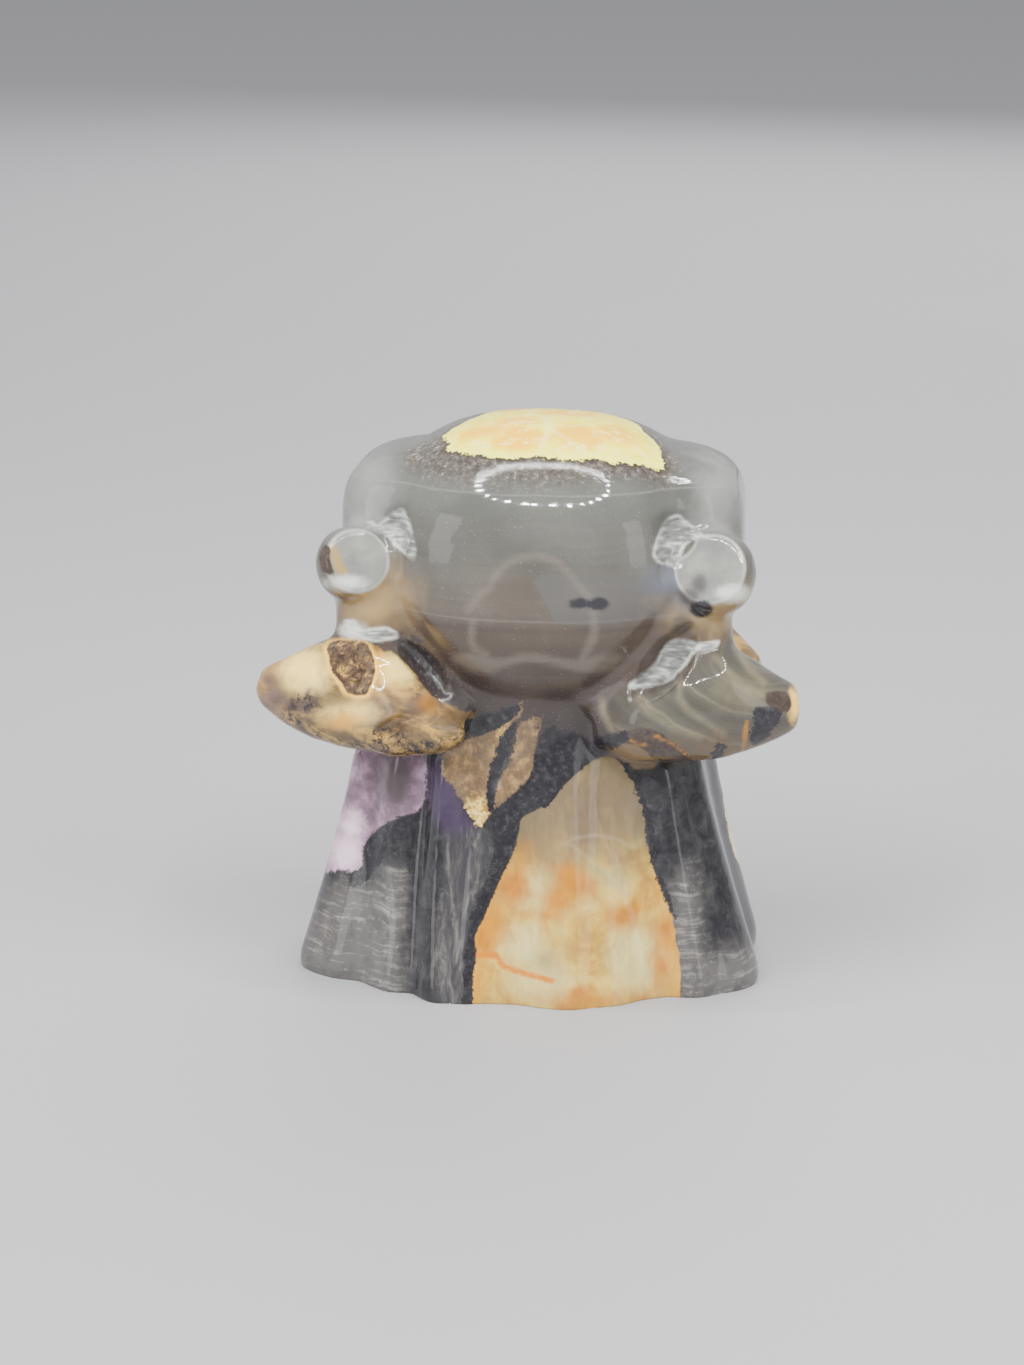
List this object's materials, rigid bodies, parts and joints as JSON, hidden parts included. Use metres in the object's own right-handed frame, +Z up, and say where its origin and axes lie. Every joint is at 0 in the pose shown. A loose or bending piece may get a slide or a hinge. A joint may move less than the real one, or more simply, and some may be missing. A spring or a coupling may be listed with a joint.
{
  "type": "agate ghost carving",
  "caption": "Polished agate carving of a ghost: domed head with side knobs, curved side lobes and a flared skirt of soft folds, standing on a flat base.",
  "frame": {"origin": "on the flat base, under the middle of the carving", "axes": "+Z up, the pictured side towards -Y, width along X"},
  "size_m": [0.0747, 0.0455, 0.079],
  "materials": {
    "banded_agate": "polished"
  },
  "bodies": {
    "root": {"ghost_carving": "banded_agate"}
  },
  "joints": []
}
